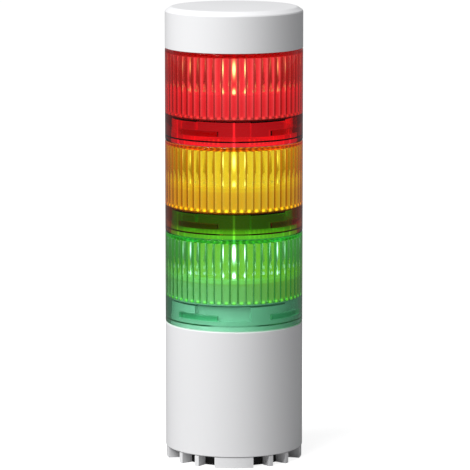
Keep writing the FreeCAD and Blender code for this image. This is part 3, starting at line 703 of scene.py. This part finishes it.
def lens_profile(sizes, outer, base, shoulder, column):
    """Section of a lens at one column, anticlockwise from the skirt's outer foot."""
    angle, track, lug = column
    skirt = outer - sizes.skirt_wall
    neck = skirt - sizes.neck_gap
    bore = neck - sizes.neck_wall
    pocket = neck - sizes.track_depth
    foot = base + sizes.joint_gap
    top = shoulder + sizes.neck_height
    floor = shoulder + sizes.track_floor
    roof = floor + sizes.track_height
    arm_wall = pocket if track else neck
    entry_wall = pocket if track == "entry" else neck
    ledge = shoulder + sizes.ledge_height
    ceiling = shoulder - sizes.shoulder
    rib_foot = base + sizes.rib_foot
    rib = rib_radius(sizes, skirt - sizes.rib_height, skirt, angle)
    lug_top = base + sizes.track_floor + sizes.track_height - sizes.lug_gap
    lug_foot = base + sizes.track_floor + sizes.lug_gap
    lug_wall = pocket + sizes.lug_tip_gap if lug else skirt
    e = sizes.edge_round
    f = sizes.foot_round
    points = quarter(outer - f, foot + f, f, -90, 0)
    points += [(outer, rib_foot), (outer, (rib_foot + ceiling) / 2)]
    points += quarter(outer - e, shoulder - e, e, 0, 90, steps=5)
    points += [(neck, shoulder), (neck, floor), (arm_wall, floor), (arm_wall, roof), (entry_wall, roof)]
    points += quarter(entry_wall - f, top - f, f, 0, 90)
    points += quarter(bore + f, top - f, f, 90, 180)
    points += [(bore, ledge), (bore - sizes.ledge_width, ledge), (bore - sizes.ledge_width, ceiling)]
    points += [(rib, ceiling), (rib, rib_foot + sizes.rib_nose)]
    nose_steps = 6
    height = skirt - rib
    for i in range(1, nose_steps + 1):
        turn = math.radians(90.0 * i / nose_steps)
        points.append((skirt - height * math.cos(turn), rib_foot + sizes.rib_nose * (1 - math.sin(turn))))
    mouth = base + sizes.mouth_height
    points += [(skirt, lug_top), (lug_wall, lug_top), (lug_wall, lug_foot), (skirt, lug_foot)]
    points += [(skirt, mouth + sizes.mouth_depth), (skirt + sizes.mouth_depth, mouth)]
    points += quarter(skirt + sizes.mouth_depth + f, foot + f, f, 180, 270)
    return points


def make_lens(unit, sizes, base, shoulder, material):
    """The coloured moulding of one unit, in place of its CAD node."""
    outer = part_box(unit + "_lens")[1].x
    columns = [(column[0], lens_profile(sizes, outer, base, shoulder, column))
               for column in lens_angles(sizes)]
    piece = ring_mesh(unit + "_lens_moulding", columns, material)
    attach(piece, unit + "_unit")
    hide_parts(unit + "_lens")


# ---- operators -------------------------------------------------------------------------------------
class STACKLIGHT_OT_housing(bpy.types.Operator):
    """Finish the white body, base plate and cap."""
    bl_idname = "stacklight.housing"
    bl_label = "Housing"

    def execute(self, context):
        plastic = context.scene.stacklight_plastic
        white = grained_material("white_satin", plastic.white, plastic.white_roughness, plastic.grain)
        for node in ("body_shell", "base_plate", "top_cap"):
            dress(node, white)
        return {"FINISHED"}


class STACKLIGHT_OT_lenses(bpy.types.Operator):
    """Make the three ribbed lens mouldings."""
    bl_idname = "stacklight.lenses"
    bl_label = "Lenses"

    def execute(self, context):
        sizes = context.scene.stacklight_lens
        light = context.scene.stacklight_light
        for unit in UNITS:
            low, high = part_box(unit + "_lens")
            base = low.z - sizes.joint_gap
            shoulder = high.z - sizes.neck_height
            material = lens_material(unit, light, sizes, base + sizes.rib_foot, shoulder, high.x)
            make_lens(unit, sizes, base, shoulder, material)
        return {"FINISHED"}


class STACKLIGHT_OT_inserts(bpy.types.Operator):
    """Finish the lit pieces inside each unit."""
    bl_idname = "stacklight.inserts"
    bl_label = "Light inserts"

    def execute(self, context):
        lens = context.scene.stacklight_lens
        light = context.scene.stacklight_light
        plastic = context.scene.stacklight_plastic
        for unit in UNITS:
            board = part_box(unit + "_led_board")[1].z
            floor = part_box(unit + "_lens")[0].z + lens.rib_foot
            for node, piece, ray in (("_carrier", "carrier", "_wall"), ("_led_board", "board", "_light"),
                                     ("_reflector", "reflector", "_light")):
                dress(unit + node, glow_material(piece, unit, plastic.inner_white, getattr(light, unit + ray),
                                                 light, floor, board))
            dress(unit + "_leds", window_material(unit, light, plastic.led_package))
            dress(unit + "_inner_lens", image_material(unit, light, board))
        return {"FINISHED"}


class STACKLIGHT_OT_contacts(bpy.types.Operator):
    """Finish the contact discs, pads, springs, risers and seals."""
    bl_idname = "stacklight.contacts"
    bl_label = "Contacts and seals"

    def execute(self, context):
        plastic = context.scene.stacklight_plastic
        black = grained_material("black_moulded", plastic.black, roughness=0.35)
        rubber = grained_material("seal_rubber_matt", plastic.rubber, roughness=0.7, grain=0.1)
        gold = grained_material("gold_plate", plastic.gold, roughness=0.25, grain=0.02, metallic=1.0)
        mask = grained_material("white_solder_mask", plastic.board_white, roughness=0.35, grain=0.03)
        for owner in ("body",) + UNITS:
            dress(owner + "_contact_disc", black)
            dress(owner + "_contact_pads", gold)
            dress(owner + "_seal", rubber)
        for unit in UNITS:
            dress(unit + "_riser_board", mask)
            dress(unit + "_contact_springs", gold)
        return {"FINISHED"}


class STACKLIGHT_OT_electronics(bpy.types.Operator):
    """Finish the control board and what is on it."""
    bl_idname = "stacklight.electronics"
    bl_label = "Control board"

    def execute(self, context):
        plastic = context.scene.stacklight_plastic
        dress("control_board", grained_material(
            "green_solder_mask", plastic.board_green, roughness=0.3, grain=0.03))
        dress("driver_chips", bpy.data.materials["black_moulded"])
        dress("terminal_block", grained_material("terminal_green_moulded", plastic.terminal, roughness=0.4))
        dress("capacitors", grained_material(
            "can_aluminium_bright", plastic.aluminium, roughness=0.25, grain=0.02, metallic=1.0))
        return {"FINISHED"}


class STACKLIGHT_OT_mounting(bpy.types.Operator):
    """Finish the gasket, grommet, inserts and screws."""
    bl_idname = "stacklight.mounting"
    bl_label = "Mounting parts"

    def execute(self, context):
        plastic = context.scene.stacklight_plastic
        rubber = grained_material("black_rubber_matt", plastic.rubber, roughness=0.75, grain=0.15)
        steel = grained_material("zinc_steel", plastic.steel, roughness=0.3, grain=0.03, metallic=1.0)
        dress("mounting_gasket", rubber)
        dress("cable_grommet", rubber)
        dress("panel_inserts", grained_material(
            "turned_brass", plastic.brass, roughness=0.28, grain=0.03, metallic=1.0))
        dress("case_screws", steel)
        dress("terminal_screws", steel)
        return {"FINISHED"}


class STACKLIGHT_OT_stage(bpy.types.Operator):
    """Make the floor, lamps, world and camera."""
    bl_idname = "stacklight.stage"
    bl_label = "Stage"

    def execute(self, context):
        studio = context.scene.stacklight_studio
        scene = context.scene
        scene.view_settings.view_transform = "Standard"

        half = studio.floor_half
        corners = [(-half, -half, 0), (half, -half, 0), (half, half, 0), (-half, half, 0)]
        mesh = bpy.data.meshes.new("floor")
        mesh.from_pydata(corners, [], [(0, 1, 2, 3)])
        floor = bpy.data.objects.new("floor", mesh)
        scene.collection.objects.link(floor)
        material, nodes, shader = new_material("pale_floor")
        glimpsed = studio.floor_shade * studio.glimpse
        tone = nodes.ranged(glimpse(nodes), 0.0, 1.0, studio.floor_shade, glimpsed, False)
        nodes.feed(shader.inputs["Base Color"], nodes.grey(tone))
        shader.inputs["Roughness"].default_value = 1.0
        shader.inputs["Specular IOR Level"].default_value = 0.0
        shader.inputs["Emission Color"].default_value = rgba((1.0, 1.0, 1.0))
        lift = nodes.maths("MULTIPLY", seen(nodes, studio.glimpse), studio.floor_lift)
        nodes.feed(shader.inputs["Emission Strength"], lift)
        material.cycles.emission_sampling = "NONE"
        mesh.materials.append(material)

        world = bpy.data.worlds.new("studio")
        world.use_nodes = True
        scene.world = world
        nodes = Nodes(world.node_tree)
        ground = world.node_tree.nodes["Background"]
        ground.inputs["Color"].default_value = rgba(studio.sky_tint)
        strength = nodes.ranged(seen(nodes, studio.glimpse), 0.0, 1.0, studio.sky, studio.backdrop, False)
        nodes.feed(ground.inputs["Strength"], strength)

        lamp = bpy.data.lights.new("key", "AREA")
        lamp.energy = studio.key_power
        lamp.size = studio.key_size
        key = bpy.data.objects.new("key", lamp)
        middle = (CAD_BOX[0] + CAD_BOX[1]) / 2
        rise = math.radians(studio.key_elevation)
        towards = Vector(spot(math.cos(rise), studio.key_azimuth, math.sin(rise)))
        key.location = middle + towards * studio.key_distance
        key.rotation_euler = towards.to_track_quat("Z", "Y").to_euler()
        scene.collection.objects.link(key)

        camera = bpy.data.objects.new("camera", bpy.data.cameras.new("camera"))
        camera.data.lens = studio.camera_lens
        tilt = math.radians(studio.camera_elevation)
        aim = Vector((studio.aim_side, 0.0, studio.aim_height))
        camera.location = aim + Vector((0.0, -math.cos(tilt), math.sin(tilt))) * studio.camera_distance
        camera.rotation_euler = (math.pi / 2 - tilt, 0.0, 0.0)
        scene.collection.objects.link(camera)
        scene.camera = camera
        return {"FINISHED"}


class STACKLIGHT_PT_panel(bpy.types.Panel):
    """Lists the pieces of the stack light and their sizes."""
    bl_label = "Stack light"
    bl_idname = "STACKLIGHT_PT_panel"
    bl_space_type = "VIEW_3D"
    bl_region_type = "UI"
    bl_category = "Stack light"

    def draw(self, context):
        for operator in OPERATORS:
            self.layout.operator(operator.bl_idname)
        for name, group in GROUPS.items():
            box = self.layout.box()
            for key in group.__annotations__:
                box.prop(getattr(context.scene, "stacklight_" + name), key)


OPERATORS = (
    STACKLIGHT_OT_housing,
    STACKLIGHT_OT_lenses,
    STACKLIGHT_OT_inserts,
    STACKLIGHT_OT_contacts,
    STACKLIGHT_OT_electronics,
    STACKLIGHT_OT_mounting,
    STACKLIGHT_OT_stage,
)
CLASSES = (*GROUPS.values(), *OPERATORS, STACKLIGHT_PT_panel)


def register():
    for item in CLASSES:
        bpy.utils.register_class(item)
    for name, group in GROUPS.items():
        setattr(bpy.types.Scene, "stacklight_" + name, PointerProperty(type=group))


def unregister():
    for name in GROUPS:
        delattr(bpy.types.Scene, "stacklight_" + name)
    for item in reversed(CLASSES):
        bpy.utils.unregister_class(item)


def main():
    register()
    moulded_grain_group()
    led_glow_group()
    led_image_group()
    painted_lens_light_group()
    for operator in OPERATORS:
        group, name = operator.bl_idname.split(".")
        getattr(getattr(bpy.ops, group), name)()


if __name__ == "__main__":
    main()
